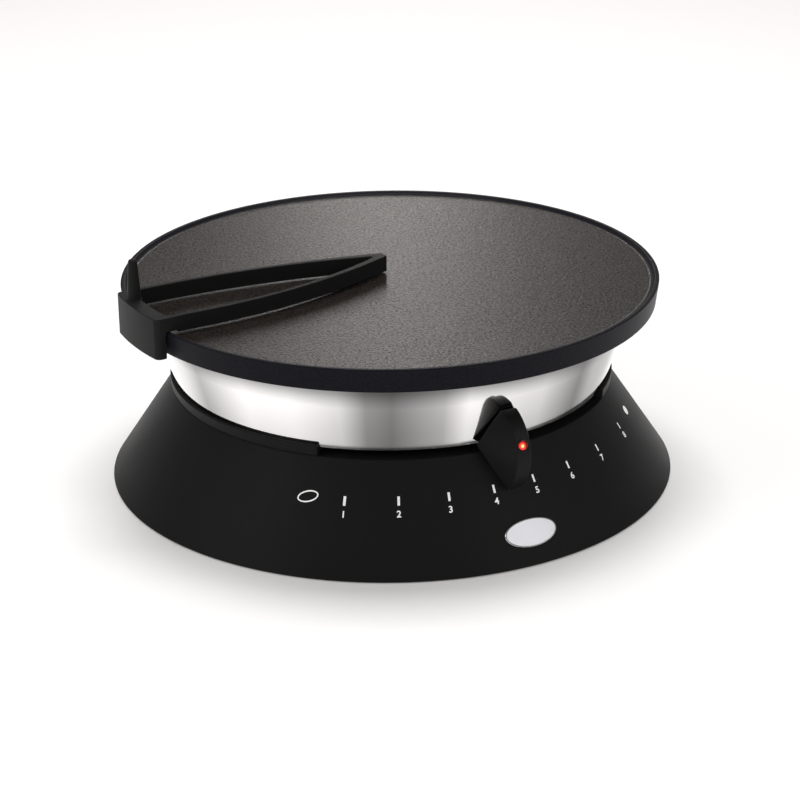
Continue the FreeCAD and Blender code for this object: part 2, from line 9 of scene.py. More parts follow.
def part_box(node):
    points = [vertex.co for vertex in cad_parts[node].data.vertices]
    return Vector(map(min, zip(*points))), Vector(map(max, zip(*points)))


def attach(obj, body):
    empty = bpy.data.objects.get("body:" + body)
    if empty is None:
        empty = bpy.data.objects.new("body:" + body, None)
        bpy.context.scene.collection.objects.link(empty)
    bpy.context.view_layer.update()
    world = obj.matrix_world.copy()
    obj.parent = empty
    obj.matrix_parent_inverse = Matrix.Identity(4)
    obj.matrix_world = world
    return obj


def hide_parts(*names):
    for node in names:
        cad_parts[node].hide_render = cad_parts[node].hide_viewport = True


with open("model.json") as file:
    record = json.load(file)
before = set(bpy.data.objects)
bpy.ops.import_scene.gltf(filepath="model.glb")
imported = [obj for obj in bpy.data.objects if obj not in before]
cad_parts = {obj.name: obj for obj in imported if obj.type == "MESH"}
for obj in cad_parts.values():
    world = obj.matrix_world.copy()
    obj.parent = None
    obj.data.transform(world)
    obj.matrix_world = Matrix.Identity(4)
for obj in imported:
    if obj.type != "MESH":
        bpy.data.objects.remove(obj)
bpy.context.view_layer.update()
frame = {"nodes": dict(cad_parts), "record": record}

bl_info = {
    "name": "Crepe Maker Dressing",
    "version": (1, 0, 0),
    "blender": (4, 5, 0),
    "location": "View3D > Sidebar > Crepe Maker",
    "description": "Models and finishes the visible pieces of an electric crepe maker",
    "category": "Object",
}

SLOTS = {part["node"]: part["material_slot"] for part in frame["record"]["subparts"]}
MM = 0.001
FULL_TURN = 2 * math.pi
SMOOTH_ANGLE = math.radians(35)
# Angles under which neighbouring faces merge, and distances under which vertices do
COPY_FLATNESS = math.radians(0.6)
COPY_MERGE = 2e-6
TURNED_MERGE = 1e-6
GRIP_FLATNESS = math.radians(0.5)
GRIP_MERGE = 1e-7

# Places that the frame gives, in metres
PLATE_LOW, PLATE_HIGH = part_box("cooking_plate")
RING_LOW, RING_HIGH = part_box("steel_ring")
COLLAR_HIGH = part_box("waist_collar")[1]
SKIRT_LOW, SKIRT_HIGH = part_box("base_skirt")
GRIP_LOW, GRIP_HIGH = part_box("lever_grip")
PEG_LOW, PEG_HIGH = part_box("spreader_peg")
LENS_LOW, LENS_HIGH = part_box("indicator_lens")

# Sizes of the turned pieces, in metres
RIM_RADIUS = PLATE_HIGH[0]
PLATE_TOP = PLATE_HIGH[2]
RIM_BOTTOM = PLATE_LOW[2]
RIM_TAPER = 1.8 * MM
RIM_LIP = 2.9 * MM
RIM_WALL = 7.5 * MM
COVE_WIDTH = 3.6 * MM
COVE_DEPTH = 1.9 * MM
# The cove's curve, as shares of its width and depth
COVE_CURVE = ((0.3, 0.08), (0.58, 0.26), (0.82, 0.58))
# Share of the cove's width at which the grained coating ends
COATED_SHARE = 0.25
# Rings of faces on the flat, as shares of the cove's inner radius
FACE_RINGS = (0.0, 0.33, 0.66, 1.0)
PLATE_THICKNESS = 10.4 * MM
PLATE_ROUNDING = 0.7 * MM
BACK_MARGIN = 0.5 * MM
RING_BOTTOM = RING_LOW[2]
RING_TOP = RING_HIGH[2]
RING_FOOT_RADIUS = 134.6 * MM
RING_TOP_RADIUS = RING_HIGH[0]
RING_SHEET = 0.8 * MM
RING_FLANGE = 8.6 * MM
RING_TOP_FLANGE = 9.9 * MM
RING_ROUNDING = 0.3 * MM
SKIRT_FOOT = SKIRT_LOW[2]
SKIRT_TOP = SKIRT_HIGH[2]
SKIRT_FOOT_RADIUS = SKIRT_HIGH[1]
SKIRT_TOP_RADIUS = 136.3 * MM
SKIRT_WALL = 3.4 * MM
SKIRT_ROUNDING = 0.5 * MM
SHELF_WIDTH = 18.3 * MM
SHELF_THICKNESS = 2.5 * MM
COLLAR_TOP = COLLAR_HIGH[2]
COLLAR_LIP = 2.2 * MM
COLLAR_STEP = 1.6 * MM
COLLAR_WIDTH = 9.3 * MM
COLLAR_GAP = 0.12 * MM
COLLAR_LEAN = 0.3 * MM
COLLAR_EDGE = 0.4 * MM
COLLAR_ROUNDING = 0.15 * MM
RECESS_START = -18.45
RECESS_END = 69.0
SKIRT_SLOPE = (SKIRT_FOOT_RADIUS - SKIRT_TOP_RADIUS) / (SKIRT_TOP - SKIRT_FOOT)
SLOPE_ANGLE = math.atan(1 / SKIRT_SLOPE)
RING_SLOPE = (RING_TOP_RADIUS - RING_FOOT_RADIUS) / (RING_TOP - RING_BOTTOM)

# The lever, in metres and degrees
LEVER_AZIMUTH = 27.85
GRIP_BAND = 9.2 * MM
GRIP_WING = 17.6 * MM
GRIP_WING_HEIGHT = 65.0 * MM
GRIP_CLEARANCE = 0.4 * MM
GRIP_INNER = RING_FOOT_RADIUS + RING_SLOPE * (COLLAR_TOP - RING_BOTTOM) + COLLAR_LIP + GRIP_CLEARANCE
GRIP_DEPTH = 23.6 * MM
GRIP_NOSE = GRIP_INNER + GRIP_DEPTH
GRIP_NOSE_HEIGHT = 63.0 * MM
GRIP_HEEL = 2.2 * MM
GRIP_ROUNDING = 0.45 * MM
NOSE_STEPS = 28
WING_INSET = 0.2 * MM
GRIP_GAP = 0.5 * MM
GRIP_REACH = 3.0 * MM
GRIP_SHOULDER = 0.6 * MM

# The indicator's glow and glass, from its axis outwards: share of the core's radius, colour
LENS_CORE = 2.4 * MM
LENS_SHIFT = -0.8 * MM
LENS_GLOW = (
    (0.0, (1.0, 0.62, 0.25)), (0.3, (1.0, 0.25, 0.06)), (0.55, (1.0, 0.02, 0.008)),
    (0.85, (0.5, 0.003, 0.003)), (1.0, (0.0, 0.0, 0.0)),
)
LENS_BODY = ((0.0, (1.0, 0.3, 0.12)), (0.6, (0.8, 0.01, 0.008)), (1.0, (0.09, 0.003, 0.003)))

# The scale on the cone: azimuths in degrees, sizes in metres.
# The marks climb, shorten and thin as they count.
MARK_AZIMUTHS = (-10.6, 1.3, 12.5, 23.1, 33.5, 44.1, 55.8, 69.6)
TICK_HEIGHTS = (39.1 * MM, 43.0 * MM)
TICK_LENGTHS = (5.5 * MM, 4.0 * MM)
TICK_WIDTHS = (1.5 * MM, 1.05 * MM)
DIGIT_HEIGHTS = (32.5 * MM, 37.5 * MM)
OFF_AZIMUTH = -19.0
OFF_HEIGHT = 39.7 * MM
OFF_OUTER = (6.4 * MM, 3.4 * MM)
OFF_INNER = (5.6 * MM, 2.6 * MM)
OFF_TILT = 17.0
FULL_AZIMUTH = 79.0
FULL_HEIGHT = 43.4 * MM
FULL_RADIUS = 3.0 * MM
OVAL_SEGMENTS = 48
PRINT_THICKNESS = 0.06 * MM

# The blank badge, in metres and degrees
BADGE_AZIMUTH = 28.8
BADGE_HEIGHT = 16.4 * MM
BADGE_HALF_WIDTH = 16.2 * MM
BADGE_HALF_HEIGHT = 7.5 * MM
BADGE_THICKNESS = 1.0 * MM
BADGE_DOME = 0.55 * MM
BADGE_SEGMENTS = 96
EDGE_HALF_WIDTH = 16.5 * MM
EDGE_HALF_HEIGHT = 7.7 * MM
EDGE_RADIUS = 0.62 * MM
EDGE_LIFT = 0.45 * MM
EDGE_SEGMENTS = 10

# The spreader's peg: its rounded end as radius and distance below the top,
# and its foot's flare as distance beyond the foot's radius and height
PEG_END = ((2.7 * MM, 1.9 * MM), (2.35 * MM, 0.9 * MM), (1.5 * MM, 0.2 * MM))
PEG_FLARE = ((0.5 * MM, 0.0), (0.1 * MM, 0.5 * MM), (-0.1 * MM, 1.6 * MM))
PEG_STEPS = 40
SPREADER_ROUNDING = 0.5 * MM

# The polished ring's painted reflections, soft upright bands of light and shade: azimuth of each in
# degrees, and how bright it is
RING_PAINTED_REFLECTIONS = (
    (-90, 0.7), (-60, 0.58), (-52, 0.33), (-36, 0.93), (-24, 0.95), (-12, 0.7), (-6, 0.29), (0, 0.21),
    (12, 0.47), (18, 0.9), (30, 0.7), (38, 0.6), (51, 0.14), (57, 0.28), (66, 0.22), (75, 0.52), (90, 0.36),
)
# Painted shade up the ring's height, darker under the rim and a little at the foot: share of the height,
# and brightness
RING_PAINTED_SHADE = ((0.0, 0.9), (0.06, 1.0), (0.6, 1.0), (0.69, 0.75), (0.81, 0.38), (0.9, 0.25))

# The values that the noise mostly takes
NOISE_LOW = 0.25
NOISE_HIGH = 0.75

# Half the side of the floor, in metres
FLOOR_HALF = 4.0

# Soft lights: name, place, target and size in metres, power in watts, colour
WHITE = (1.0, 1.0, 1.0)
LIGHTS = (
    ("overhead_soft", (0.0, 0.55, 2.15), (0.0, 0.0, 0.1), (1.2, 0.8), 31.0, WHITE),
    ("left_soft", (-1.9, -0.9, 1.3), (0.0, 0.0, 0.08), (1.2, 1.2), 13.0, WHITE),
    ("right_soft", (1.9, -1.2, 1.3), (0.0, 0.0, 0.08), (1.0, 1.2), 10.0, WHITE),
    ("back_card", (0.0, 2.6, 1.15), (0.0, 0.0, 0.12), (0.2, 1.0), 4.4, (1.0, 0.965, 0.93)),
)

# Fittings that show: node, body and width of the rounded edges in metres
FITTINGS = (
    ("cord_gland", "base", 0.4 * MM),
    ("rubber_feet", "base", 0.5 * MM),
    ("bottom_cover", "base", 0.3 * MM),
    ("cord_clamp", "base", 0.3 * MM),
    ("terminal_block", "base", 0.3 * MM),
    ("cover_screws", "base", 0.15 * MM),
    ("lever_arm", "lever", 0.2 * MM),
    ("indicator_lens", "lever", 0.12 * MM),
)

# The camera that fits the photograph
CAMERA_DISTANCE = 1.4042
CAMERA_HEIGHT = 0.6202
CAMERA_PITCH = math.radians(22.437)
CAMERA_YAW = math.radians(0.218)
CAMERA_ROLL = math.radians(-0.619)
CAMERA_LENS = 108.75
CAMERA_SENSOR = 36.0


def skirt_radius(height):
    return SKIRT_FOOT_RADIUS - SKIRT_SLOPE * (height - SKIRT_FOOT)


def ring_radius(height):
    return RING_FOOT_RADIUS + RING_SLOPE * (height - RING_BOTTOM)


def look():
    return bpy.context.scene.crepe_maker_look


def sizes():
    return bpy.context.scene.crepe_maker_sizes


# Shader building blocks
def shader(name):
    finish = bpy.data.materials.new(name)
    finish.use_nodes = True
    tree = finish.node_tree
    return finish, tree, tree.nodes["Principled BSDF"]


def object_place(tree):
    return tree.nodes.new("ShaderNodeTexCoord").outputs["Object"]


def stretched(tree, source, scale):
    mapping = tree.nodes.new("ShaderNodeMapping")
    mapping.inputs["Scale"].default_value = scale
    tree.links.new(source, mapping.inputs["Vector"])
    return mapping.outputs["Vector"]


def noise(tree, source, scale, detail=2.0, roughness=0.5):
    node = tree.nodes.new("ShaderNodeTexNoise")
    node.inputs["Scale"].default_value = scale
    node.inputs["Detail"].default_value = detail
    node.inputs["Roughness"].default_value = roughness
    tree.links.new(source, node.inputs["Vector"])
    return node.outputs["Fac"]


def ramp(tree, source, stops):
    node = tree.nodes.new("ShaderNodeValToRGB")
    elements = node.color_ramp.elements
    while len(elements) < len(stops):
        elements.new(0.5)
    for element, (place, colour) in zip(elements, stops):
        element.position = place
        element.color = (*colour, 1.0)
    tree.links.new(source, node.inputs["Fac"])
    return node.outputs["Color"]


def spread(tree, source, low, high):
    """The values that the noise mostly takes, spread between two others."""
    node = tree.nodes.new("ShaderNodeMapRange")
    node.inputs["From Min"].default_value = NOISE_LOW
    node.inputs["From Max"].default_value = NOISE_HIGH
    node.inputs["To Min"].default_value = low
    node.inputs["To Max"].default_value = high
    tree.links.new(source, node.inputs["Value"])
    return node.outputs["Result"]


def between(tree, source, low, high):
    """How far a value is from the lower to the upper of two others, as a share."""
    node = tree.nodes.new("ShaderNodeMapRange")
    node.inputs["From Min"].default_value = low
    node.inputs["From Max"].default_value = high
    tree.links.new(source, node.inputs["Value"])
    return node.outputs["Result"]


def axis_of(tree, source, axis):
    node = tree.nodes.new("ShaderNodeSeparateXYZ")
    tree.links.new(source, node.inputs["Vector"])
    return node.outputs[axis]


def multiplied(tree, first, second, colour):
    """Two colours multiplied with each other and with a third, fixed one."""
    both = tree.nodes.new("ShaderNodeVectorMath")
    both.operation = "MULTIPLY"
    tree.links.new(first, both.inputs[0])
    tree.links.new(second, both.inputs[1])
    tinted = tree.nodes.new("ShaderNodeVectorMath")
    tinted.operation = "MULTIPLY"
    tree.links.new(both.outputs["Vector"], tinted.inputs[0])
    tinted.inputs[1].default_value = colour
    return tinted.outputs["Vector"]


def bump(tree, bsdf, source, strength, distance):
    node = tree.nodes.new("ShaderNodeBump")
    node.inputs["Strength"].default_value = strength
    node.inputs["Distance"].default_value = distance
    tree.links.new(source, node.inputs["Height"])
    tree.links.new(node.outputs["Normal"], bsdf.inputs["Normal"])


def shade(colour, factor):
    return tuple(min(1.0, channel * factor) for channel in colour)


# Finishes, one function for each
def plate_coating():
    finish, tree, bsdf = shader("plate_coating")
    place = object_place(tree)
    colour = tuple(look().coating_colour)
    grain = noise(tree, place, sizes().coating_grain, 3.0, 0.65)
    speckle = ramp(tree, grain, [(0.4, shade(colour, 0.3)), (0.5, colour), (0.6, shade(colour, 2.4))])
    tree.links.new(speckle, bsdf.inputs["Base Color"])
    tree.links.new(spread(tree, grain, 0.34, 0.26), bsdf.inputs["Roughness"])
    tree.links.new(spread(tree, grain, 0.0, 0.64), bsdf.inputs["Specular IOR Level"])
    bsdf.inputs["IOR"].default_value = 1.3
    bump(tree, bsdf, grain, 0.7, 0.0003)
    return finish


def rim_coating():
    finish, tree, bsdf = shader("rim_coating")
    place = object_place(tree)
    colour = tuple(look().rim_colour)
    grain = noise(tree, place, sizes().coating_grain, 2.0)
    tree.links.new(ramp(tree, grain, [(0.3, shade(colour, 0.8)), (0.7, shade(colour, 1.3))]),
                   bsdf.inputs["Base Color"])
    bsdf.inputs["Roughness"].default_value = 0.42
    bsdf.inputs["IOR"].default_value = look().plastic_ior
    bump(tree, bsdf, grain, 0.25, 0.0002)
    return finish


def painted_light_ring():
    """Polished steel with painted reflections in soft upright bands, and painted shade under the rim."""
    finish, tree, bsdf = shader("painted_light_ring")
    place = object_place(tree)
    around = tree.nodes.new("ShaderNodeVectorMath")
    around.operation = "NORMALIZE"
    tree.links.new(stretched(tree, place, (1.0, 1.0, 0.0)), around.inputs[0])
    side = between(tree, axis_of(tree, around.outputs["Vector"], "X"), -1.0, 1.0)
    # painted reflections: the steel's colour is set lighter and darker by azimuth, as soft upright bands
    painted_reflections = ramp(tree, side, [((math.sin(math.radians(azimuth)) + 1) / 2, (tone, tone * 0.993, tone * 0.99))
                              for azimuth, tone in RING_PAINTED_REFLECTIONS])
    # painted shade: the steel's colour is darker under the rim and a little at the foot
    rise = between(tree, axis_of(tree, place, "Z"), RING_BOTTOM, RING_TOP)
    painted_shade = ramp(tree, rise, [(share, (tone, tone, tone)) for share, tone in RING_PAINTED_SHADE])
    tone = multiplied(tree, painted_reflections, painted_shade, tuple(look().steel_colour))
    tree.links.new(tone, bsdf.inputs["Base Color"])
    bsdf.inputs["Metallic"].default_value = 1.0
    lines = noise(tree, stretched(tree, place, (6.0, 6.0, 900.0)), 6.0, 3.0, 0.7)
    tree.links.new(spread(tree, lines, 0.05, 0.08), bsdf.inputs["Roughness"])
    bump(tree, bsdf, lines, 0.02, 0.00002)
    return finish


def moulded_black(name, colour, rough_low, rough_high, grain_scale, strength):
    finish, tree, bsdf = shader(name)
    place = object_place(tree)
    grain = noise(tree, place, grain_scale, 2.0)
    tree.links.new(ramp(tree, grain, [(0.3, shade(colour, 0.9)), (0.7, shade(colour, 1.12))]),
                   bsdf.inputs["Base Color"])
    cloud = noise(tree, place, 14.0, 2.0)
    tree.links.new(spread(tree, cloud, rough_low, rough_high), bsdf.inputs["Roughness"])
    bsdf.inputs["IOR"].default_value = look().plastic_ior
    bump(tree, bsdf, grain, strength, 0.0001)
    return finish


def black_plastic():
    return moulded_black("black_plastic", tuple(look().skirt_colour), 0.42, 0.5, 1800.0, 0.12)


def lever_plastic():
    return moulded_black("lever_plastic", tuple(look().lever_colour), 0.32, 0.4, 2200.0, 0.08)


def spreader_plastic():
    return moulded_black("spreader_plastic", tuple(look().spreader_colour), 0.42, 0.52, 1500.0, 0.2)


def plain_finish(name, colour, roughness, metallic, grain_scale, strength):
    finish, tree, bsdf = shader(name)
    grain = noise(tree, object_place(tree), grain_scale, 2.0)
    tree.links.new(ramp(tree, grain, [(0.3, shade(colour, 0.92)), (0.7, shade(colour, 1.05))]),
                   bsdf.inputs["Base Color"])
    bsdf.inputs["Metallic"].default_value = metallic
    bsdf.inputs["Roughness"].default_value = roughness
    bump(tree, bsdf, grain, strength, 0.0001)
    return finish


def badge_white():
    finish, tree, bsdf = shader("badge_white")
    colour = tuple(look().badge_colour)
    cloud = noise(tree, object_place(tree), 60.0, 2.0)
    tint = ramp(tree, cloud, [(0.3, shade(colour, 0.985)), (0.7, colour)])
    tree.links.new(tint, bsdf.inputs["Base Color"])
    tree.links.new(spread(tree, cloud, 0.22, 0.28), bsdf.inputs["Roughness"])
    bsdf.inputs["Coat Weight"].default_value = 0.6
    bsdf.inputs["Coat Roughness"].default_value = 0.08
    return finish


def badge_edge():
    return plain_finish("badge_edge", (0.55, 0.55, 0.57), 0.22, 1.0, 900.0, 0.02)


def scale_print():
    finish = plain_finish("scale_print", tuple(look().print_colour), 0.4, 0.0, 1500.0, 0.02)
    bsdf = finish.node_tree.nodes["Principled BSDF"]
    bsdf.inputs["Emission Color"].default_value = (1.0, 1.0, 1.0, 1.0)
    bsdf.inputs["Emission Strength"].default_value = look().print_glow
    return finish


def lens_red():
    """Red glass that glows round the lens's own axis only."""
    finish, tree, bsdf = shader("lens_red")
    middle = Vector([(low + high) / 2 for low, high in zip(LENS_LOW, LENS_HIGH)])
    centre = middle + turn(LEVER_AZIMUTH) @ Vector((LENS_SHIFT, 0, 0))
    mapping = tree.nodes.new("ShaderNodeMapping")
    mapping.inputs["Location"].default_value = [-value for value in centre]
    tree.links.new(object_place(tree), mapping.inputs["Vector"])
    off_axis = tree.nodes.new("ShaderNodeVectorMath")
    off_axis.operation = "CROSS_PRODUCT"
    tree.links.new(mapping.outputs["Vector"], off_axis.inputs[0])
    off_axis.inputs[1].default_value = turn(LEVER_AZIMUTH) @ Vector((0, -1, 0))
    away = tree.nodes.new("ShaderNodeVectorMath")
    away.operation = "LENGTH"
    tree.links.new(off_axis.outputs["Vector"], away.inputs[0])
    share = between(tree, away.outputs["Value"], 0.0, LENS_CORE)
    glow = ramp(tree, share, LENS_GLOW)
    body = ramp(tree, share, LENS_BODY)
    tree.links.new(body, bsdf.inputs["Base Color"])
    tree.links.new(glow, bsdf.inputs["Emission Color"])
    bsdf.inputs["Emission Strength"].default_value = sizes().lamp_strength
    bsdf.inputs["Roughness"].default_value = 0.15
    return finish


FINISHES = {
    "plate_coating": plate_coating,
    "ring_steel": painted_light_ring,
    "black_plastic": black_plastic,
    "lever_plastic": lever_plastic,
    "spreader_plastic": spreader_plastic,
    "badge_white": badge_white,
    "lens_red": lens_red,
}
# Plainer finishes: colour, roughness, metallic, grain in a metre and strength of the bump
PLAIN_FINISHES = {
    "lamp_glass": ((1.0, 0.35, 0.15), 0.1, 0.0, 800.0, 0.02),
    "zinc_steel": ((0.62, 0.62, 0.6), 0.35, 1.0, 1200.0, 0.1),
    "element_sheath": ((0.3, 0.27, 0.25), 0.45, 1.0, 900.0, 0.15),
    "ceramic": ((0.83, 0.81, 0.76), 0.4, 0.0, 700.0, 0.05),
    "aluminium_sheet": ((0.78, 0.78, 0.78), 0.4, 1.0, 500.0, 0.08),
    "fibre": ((0.78, 0.74, 0.66), 0.9, 0.0, 1400.0, 0.5),
    "cover_paint": ((0.045, 0.045, 0.045), 0.55, 0.0, 1600.0, 0.2),
    "rubber": ((0.02, 0.02, 0.02), 0.75, 0.0, 2000.0, 0.15),
}
MADE_FINISHES = {}


def finish_of(slot):
    if slot not in MADE_FINISHES:
        if slot in FINISHES:
            MADE_FINISHES[slot] = FINISHES[slot]()
        else:
            MADE_FINISHES[slot] = plain_finish(slot, *PLAIN_FINISHES[slot])
    return MADE_FINISHES[slot]


# Mesh building blocks
def front(radius, height, side=0.0):
    return Vector((side, -radius, height))


def turn(azimuth):
    return Matrix.Rotation(math.radians(azimuth), 4, "Z")


def turned_shape(points, steps, closed=True, sweep=FULL_TURN, start=0.0):
    """An outline of radius and height, spun round the upright axis. An open one begins and ends on it."""
    bm = bmesh.new()
    corners = [bm.verts.new(front(radius, height)) for radius, height in points]
    edges = [bm.edges.new(pair) for pair in zip(corners, corners[1:])]
    if closed:
        edges.append(bm.edges.new((corners[-1], corners[0])))
    whole = sweep == FULL_TURN
    outline = corners + edges if whole else [bm.faces.new(corners)]
    bmesh.ops.spin(bm, geom=outline, cent=(0, 0, 0), axis=(0, 0, 1), dvec=(0, 0, 0), angle=sweep,
                   steps=steps, use_merge=whole, use_duplicate=False)
    bmesh.ops.remove_doubles(bm, verts=bm.verts[:], dist=TURNED_MERGE)
    bmesh.ops.rotate(bm, verts=bm.verts[:], cent=(0, 0, 0), matrix=Matrix.Rotation(start, 3, "Z"))
    bmesh.ops.recalc_face_normals(bm, faces=bm.faces[:])
    return bm


def sharp_edges(bm, angle):
    limit = math.radians(angle)
    return [edge for edge in bm.edges if len(edge.link_faces) == 2 and edge.calc_face_angle() > limit]


def rounded(bm, width, angle=25.0, segments=3):
    bmesh.ops.bevel(bm, geom=sharp_edges(bm, angle), offset=width, offset_type="OFFSET", segments=segments,
                    profile=0.5, affect="EDGES", material=-1, clamp_overlap=True)
    return bm


def softened_copy(node, width):
    """The construction's own shape, merged, with its sharp edges rounded."""
    bm = bmesh.new()
    bm.from_mesh(frame["nodes"][node].data)
    bmesh.ops.remove_doubles(bm, verts=bm.verts[:], dist=COPY_MERGE)
    bmesh.ops.dissolve_limit(bm, angle_limit=COPY_FLATNESS, verts=bm.verts[:], edges=bm.edges[:])
    return rounded(bm, width, angle=30.0)


def verts_among(geometry):
    return [item for item in geometry if isinstance(item, bmesh.types.BMVert)]


def piece(name, bm, finishes, body, slot, *stands_for):
    mesh = bpy.data.meshes.new(name)
    bm.to_mesh(mesh)
    bm.free()
    for finish in finishes:
        mesh.materials.append(finish)
    mesh.shade_smooth()
    mesh.set_sharp_from_angle(angle=SMOOTH_ANGLE)
    made = bpy.data.objects.new(name, mesh)
    bpy.context.scene.collection.objects.link(made)
    weighted = made.modifiers.new("flat_faces", "WEIGHTED_NORMAL")
    weighted.keep_sharp = True
    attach(made, body)
    if stands_for:
        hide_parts(*stands_for)


# The cooking plate and its rim
def make_plate():
    face = PLATE_TOP - COVE_DEPTH
    back = face - PLATE_THICKNESS
    lip = RIM_RADIUS - RIM_LIP
    cove = lip - COVE_WIDTH
    low = RIM_RADIUS - RIM_TAPER
    low_inner = low - RIM_WALL
    outline = [(cove * share, face) for share in FACE_RINGS]
    outline += [(cove + COVE_WIDTH * across, face + COVE_DEPTH * up) for across, up in COVE_CURVE]
    outline += [(lip, PLATE_TOP), (RIM_RADIUS, PLATE_TOP), (low, RIM_BOTTOM), (low_inner, RIM_BOTTOM),
                (low_inner, back), (0.0, back)]
    bm = turned_shape(outline, sizes().round_steps, closed=False)
    bm = rounded(bm, PLATE_ROUNDING, angle=40.0, segments=4)
    for part in bm.faces:
        middle = part.calc_center_median()
        beyond = math.hypot(middle.x, middle.y) > cove + COVE_WIDTH * COATED_SHARE
        part.material_index = 1 if beyond or middle.z < back + BACK_MARGIN else 0
    finishes = [finish_of("plate_coating"), rim_coating()]
    piece("cooking_plate_shape", bm, finishes, "base", "plate_coating", "cooking_plate")


# The flared steel ring
def make_ring():
    inner_top = RING_TOP - RING_SHEET
    inner_bottom = RING_BOTTOM + RING_SHEET
    flange = RING_FOOT_RADIUS - RING_FLANGE
    top_flange = RING_TOP_RADIUS - RING_TOP_FLANGE
    outline = [
        (flange, RING_BOTTOM), (RING_FOOT_RADIUS, RING_BOTTOM), (RING_TOP_RADIUS, RING_TOP),
        (top_flange, RING_TOP), (top_flange, inner_top), (ring_radius(inner_top) - RING_SHEET, inner_top),
        (ring_radius(inner_bottom) - RING_SHEET, inner_bottom), (flange, inner_bottom),
    ]
    bm = rounded(turned_shape(outline, sizes().round_steps), RING_ROUNDING, angle=40.0, segments=2)
    piece("steel_ring_shape", bm, [finish_of("ring_steel")], "base", "ring_steel", "steel_ring")


# The conical base and the collar at its waist
def make_skirt():
    shelf_bottom = SKIRT_TOP - SHELF_THICKNESS
    shelf_inner = SKIRT_TOP_RADIUS - SHELF_WIDTH
    outline = [
        (SKIRT_FOOT_RADIUS, SKIRT_FOOT), (SKIRT_TOP_RADIUS, SKIRT_TOP), (shelf_inner, SKIRT_TOP),
        (shelf_inner, shelf_bottom), (skirt_radius(shelf_bottom) - SKIRT_WALL, shelf_bottom),
        (SKIRT_FOOT_RADIUS - SKIRT_WALL, SKIRT_FOOT),
    ]
    bm = rounded(turned_shape(outline, sizes().round_steps), SKIRT_ROUNDING)
    piece("base_skirt_shape", bm, [finish_of("black_plastic")], "base", "black_plastic", "base_skirt")


def make_collar():
    inner = SKIRT_TOP_RADIUS - COLLAR_WIDTH
    lip = ring_radius(COLLAR_TOP) + COLLAR_LIP
    outline = [
        (inner, SKIRT_TOP), (SKIRT_TOP_RADIUS, SKIRT_TOP), (lip - COLLAR_LEAN, SKIRT_TOP + COLLAR_STEP),
        (lip, COLLAR_TOP - COLLAR_EDGE), (lip - COLLAR_EDGE, COLLAR_TOP),
        (ring_radius(COLLAR_TOP) + COLLAR_GAP, COLLAR_TOP), (RING_FOOT_RADIUS + COLLAR_GAP, RING_BOTTOM),
        (inner, RING_BOTTOM),
    ]
    sweep = math.radians(360 - (RECESS_END - RECESS_START))
    steps = int(sizes().round_steps * sweep / FULL_TURN)
    bm = turned_shape(outline, steps, sweep=sweep, start=math.radians(RECESS_END))
    bm = rounded(bm, COLLAR_ROUNDING, angle=40.0, segments=2)
    piece("waist_collar_shape", bm, [finish_of("black_plastic")], "base", "black_plastic", "waist_collar")


# The printed scale on the cone
def cone_place(azimuth, height, lift=0.0):
    """A matrix with X round the cone, Y up its slope and Z out of it."""
    around = Vector((math.cos(math.radians(azimuth)), math.sin(math.radians(azimuth)), 0))
    outward = Vector((math.sin(math.radians(azimuth)), -math.cos(math.radians(azimuth)), 0))
    slope = -outward * math.cos(SLOPE_ANGLE) + Vector((0, 0, math.sin(SLOPE_ANGLE)))
    normal = around.cross(slope)
    origin = outward * skirt_radius(height) + Vector((0, 0, height)) + normal * lift
    matrix = Matrix((around, slope, normal)).transposed().to_4x4()
    matrix.translation = origin
    return matrix


def oval(bm, half_width, half_height, filled):
    made = bmesh.ops.create_circle(bm, cap_ends=filled, radius=1.0, segments=OVAL_SEGMENTS)["verts"]
    bmesh.ops.scale(bm, verts=made, vec=(half_width, half_height, 1.0))
    return made


def printed(bm, verts, faces, matrix):
    """Gives flat faces the thickness of the print and puts them in their place."""
    lifted = verts_among(bmesh.ops.extrude_face_region(bm, geom=faces)["geom"])
    bmesh.ops.translate(bm, verts=lifted, vec=(0, 0, PRINT_THICKNESS))
    bmesh.ops.transform(bm, matrix=matrix, verts=verts + lifted)


def add_dot(bm):
    verts = oval(bm, FULL_RADIUS, FULL_RADIUS, True)
    faces = list({face for vert in verts for face in vert.link_faces})
    printed(bm, verts, faces, cone_place(FULL_AZIMUTH, FULL_HEIGHT))


def along(ends, share):
    """The value at a share of the way between two ends."""
    return ends[0] + (ends[1] - ends[0]) * share


def add_tick(bm, azimuth, height, length, width):
    made = bmesh.ops.create_cube(bm, size=1.0)["verts"]
    bmesh.ops.scale(bm, verts=made, vec=(width, length, 2 * PRINT_THICKNESS))
    bmesh.ops.transform(bm, matrix=cone_place(azimuth, height), verts=made)


def add_ring_mark(bm):
    verts = oval(bm, *OFF_OUTER, False) + oval(bm, *OFF_INNER, False)
    edges = list({edge for vert in verts for edge in vert.link_edges})
    faces = bmesh.ops.bridge_loops(bm, edges=edges)["faces"]
    printed(bm, verts, faces, cone_place(OFF_AZIMUTH, OFF_HEIGHT) @ turn(OFF_TILT))


def add_digit(bm, text, azimuth, height):
    curve = bpy.data.curves.new("digit_" + text, "FONT")
    curve.body = text
    curve.size = sizes().digit_size
    curve.align_x = "CENTER"
    curve.align_y = "CENTER"
    curve.extrude = PRINT_THICKNESS
    curve.offset = sizes().digit_stroke
    holder = bpy.data.objects.new("digit_" + text, curve)
    bpy.context.scene.collection.objects.link(holder)
    evaluated = holder.evaluated_get(bpy.context.evaluated_depsgraph_get())
    mesh = bpy.data.meshes.new_from_object(evaluated)
    mesh.transform(cone_place(azimuth, height))
    bm.from_mesh(mesh)
    bpy.data.objects.remove(holder)
    bpy.data.curves.remove(curve)
    bpy.data.meshes.remove(mesh)


